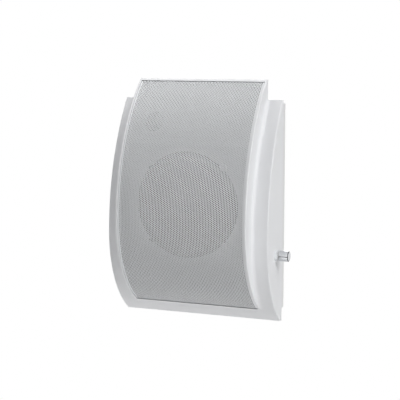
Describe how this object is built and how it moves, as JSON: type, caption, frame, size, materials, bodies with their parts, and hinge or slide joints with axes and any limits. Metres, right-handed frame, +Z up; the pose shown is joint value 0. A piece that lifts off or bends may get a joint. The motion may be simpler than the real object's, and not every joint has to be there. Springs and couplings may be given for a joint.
{
  "type": "wall speaker",
  "caption": "Wall loudspeaker in a white moulded housing with a bowed perforated grille, a flat wall plate and a bright turning volume knob on its side.",
  "frame": {"origin": "on the back of the wall plate, on the middle plane, at half the overall height", "axes": "+Z up, +Y into the wall, +X to the right as seen from the front; the front looks towards -Y"},
  "size_m": [0.2075, 0.083, 0.275],
  "materials": {
    "housing_plastic": "satin white moulding",
    "plate_plastic": "satin white moulding",
    "grille_paint": "white powder coat",
    "gasket_foam": "matt black foam",
    "basket_paint": "black paint",
    "surround_rubber": "matt black rubber",
    "cone_paper": "dark pressed paper",
    "copper_winding": "enamelled copper",
    "spider_cloth": "resin-stiffened cloth",
    "zinc_steel": "zinc plated",
    "ferrite": "dark ferrite",
    "strip_board": "brown board with tinned tabs",
    "screw_steel": "zinc plated",
    "core_steel": "dark laminated steel",
    "control_metal": "die-cast",
    "knob_chrome": "polished",
    "block_plastic": "dark grey moulding",
    "clamp_brass": "plain brass",
    "grommet_rubber": "matt black rubber"
  },
  "bodies": {
    "cabinet": {"front_housing": "housing_plastic", "wall_plate": "plate_plastic", "grille": "grille_paint", "driver_gasket": "gasket_foam", "driver_basket": "basket_paint", "surround": "surround_rubber", "spider": "spider_cloth", "top_plate": "zinc_steel", "magnet": "ferrite", "pole_yoke": "zinc_steel", "driver_terminals": "strip_board", "driver_screws": "screw_steel", "transformer_core": "core_steel", "transformer_coil": "copper_winding", "transformer_bracket": "zinc_steel", "transformer_screws": "screw_steel", "attenuator_body": "control_metal", "attenuator_washer": "knob_chrome", "attenuator_nut": "knob_chrome", "terminal_block": "block_plastic", "terminal_clamp_screws": "clamp_brass", "terminal_mount_screws": "screw_steel", "cable_grommet": "grommet_rubber", "locking_screws": "screw_steel"},
    "knob": {"knob": "knob_chrome", "attenuator_shaft": "control_metal", "knob_set_screw": "screw_steel"},
    "cone": {"cone": "cone_paper", "dust_cap": "cone_paper", "voice_coil": "copper_winding"}
  },
  "joints": [
    {"name": "knob_turn", "type": "hinge", "parent": "cabinet", "child": "knob", "pos_m": [0.1064, -0.0305, -0.0576], "axis": [1, 0, 0], "range_deg": [-150, 150]},
    {"name": "cone_slide", "type": "slide", "parent": "cabinet", "child": "cone", "axis": [0, -1, 0], "range_m": [-0.0015, 0.0015], "stiffness_N_per_m": 2000, "deforming": ["surround", "spider"]}
  ]
}
